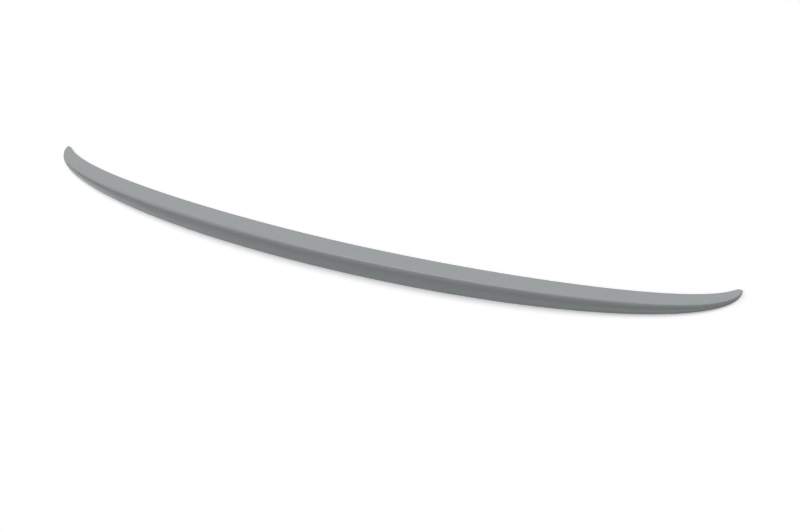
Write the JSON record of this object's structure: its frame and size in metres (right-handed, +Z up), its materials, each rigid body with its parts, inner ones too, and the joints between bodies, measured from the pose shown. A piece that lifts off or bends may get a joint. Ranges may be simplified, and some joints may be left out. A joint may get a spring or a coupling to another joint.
{
  "type": "car rear lip spoiler",
  "caption": "Slim boot-lid lip spoiler: a swept, tapering wedge with a creased trailing edge and a hollow rear face, ribbed and open underneath, with a flat face for bonding on.",
  "frame": {"origin": "on the bonding face, under the middle of the trailing edge", "axes": "+X to the right seen from behind the car, +Y to the car's front, +Z up off the boot lid"},
  "size_m": [1.2012, 0.1585, 0.0225],
  "materials": {
    "grey_primer": "matte grey primer on moulded plastic"
  },
  "bodies": {
    "root": {"lip_spoiler": "grey_primer"}
  },
  "joints": []
}
